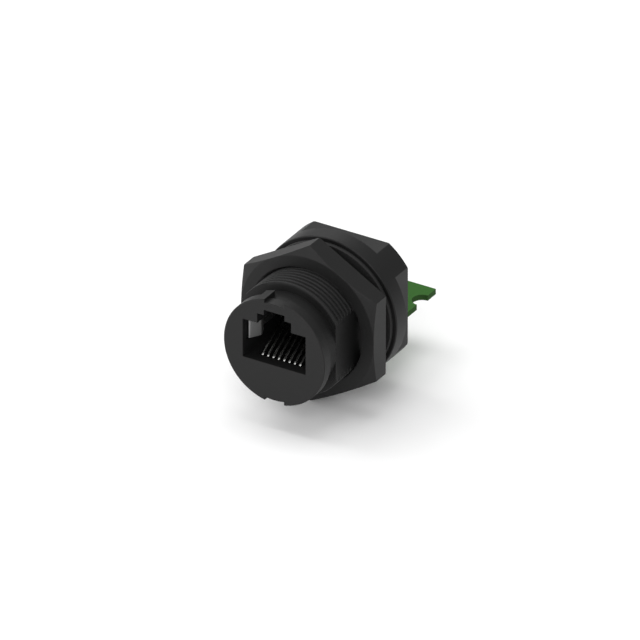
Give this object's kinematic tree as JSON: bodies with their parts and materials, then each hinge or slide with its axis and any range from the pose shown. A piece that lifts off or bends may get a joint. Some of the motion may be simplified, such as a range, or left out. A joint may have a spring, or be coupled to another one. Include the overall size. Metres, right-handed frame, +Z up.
{
  "type": "waterproof panel socket for a modular network plug",
  "caption": "Round sealed bulkhead socket for a modular network plug: keyed nose, threaded barrel, hexagon panel nut, gasket, head with wrench flats and a circuit board tail.",
  "frame": {"origin": "on the socket's axis, at the front face of the collar, which seals against the panel", "axes": "+Y along the axis from the mouth to the board tail, +Z up with the latch side of the opening on top, +X to the right seen from the mouth"},
  "size_m": [0.0258, 0.0379, 0.029],
  "materials": {
    "shell_nylon": "black glass-filled nylon, fine moulded grain",
    "nut_nylon": "black nylon, fine moulded grain",
    "gasket_rubber": "black rubber, matt",
    "insert_plastic": "black moulded plastic",
    "contact_strip": "plated spring strip, bright",
    "shield_metal": "tinned spring sheet, satin",
    "board_laminate": "glass laminate under green solder mask",
    "solder": "solder, satin",
    "eyelet_plating": "tinned copper",
    "potting_resin": "black casting resin, glossy"
  },
  "bodies": {
    "housing": {"shell": "shell_nylon", "panel_gasket": "gasket_rubber", "contact_block": "insert_plastic", "contact_comb": "insert_plastic", "contact_1": "contact_strip", "contact_2": "contact_strip", "contact_3": "contact_strip", "contact_4": "contact_strip", "contact_5": "contact_strip", "contact_6": "contact_strip", "contact_7": "contact_strip", "contact_8": "contact_strip", "shield_spring_left": "shield_metal", "shield_spring_right": "shield_metal", "circuit_board": "board_laminate", "solder_joints": "solder", "wire_eyelets": "eyelet_plating", "potting": "potting_resin"},
    "nut": {"panel_nut": "nut_nylon"}
  },
  "joints": [
    {"name": "nut_travel", "type": "slide", "parent": "housing", "child": "nut", "axis": [0, 1, 0], "range_m": [-0.0052, 0.0022]}
  ]
}
